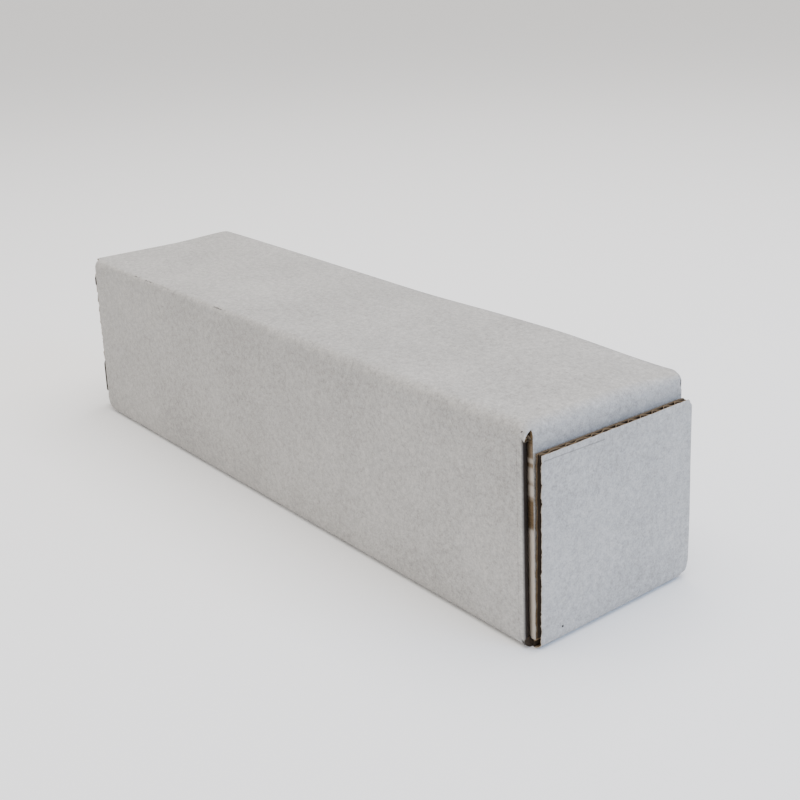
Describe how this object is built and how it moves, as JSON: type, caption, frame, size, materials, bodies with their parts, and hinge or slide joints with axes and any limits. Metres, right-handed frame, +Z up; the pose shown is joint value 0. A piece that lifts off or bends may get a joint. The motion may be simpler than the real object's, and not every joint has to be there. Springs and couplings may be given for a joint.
{
  "type": "long shipping box",
  "caption": "Long square corrugated shipping box, white outside, with overlapping end flaps that fold up from the bottom panel.",
  "frame": {"origin": "middle of the underside of the closed box, flaps included", "axes": "+X along the box towards the end shown nearest in the picture, +Y across it to the side away from the camera, +Z up"},
  "size_m": [0.4302, 0.104, 0.106],
  "materials": {
    "white_board": "matte"
  },
  "bodies": {
    "carton": {"carton_body": "white_board"},
    "near_flap": {"near_end_flap": "white_board"},
    "far_flap": {"far_end_flap": "white_board"}
  },
  "joints": [
    {"name": "near_flap_fold", "type": "hinge", "parent": "carton", "child": "near_flap", "pos_m": [0.212, 0.002, 0.0018], "axis": [0, 1, 0], "range_deg": [0, 89]},
    {"name": "far_flap_fold", "type": "hinge", "parent": "carton", "child": "far_flap", "pos_m": [-0.212, 0, 0.0018], "axis": [0, -1, 0], "range_deg": [0, 89]}
  ]
}
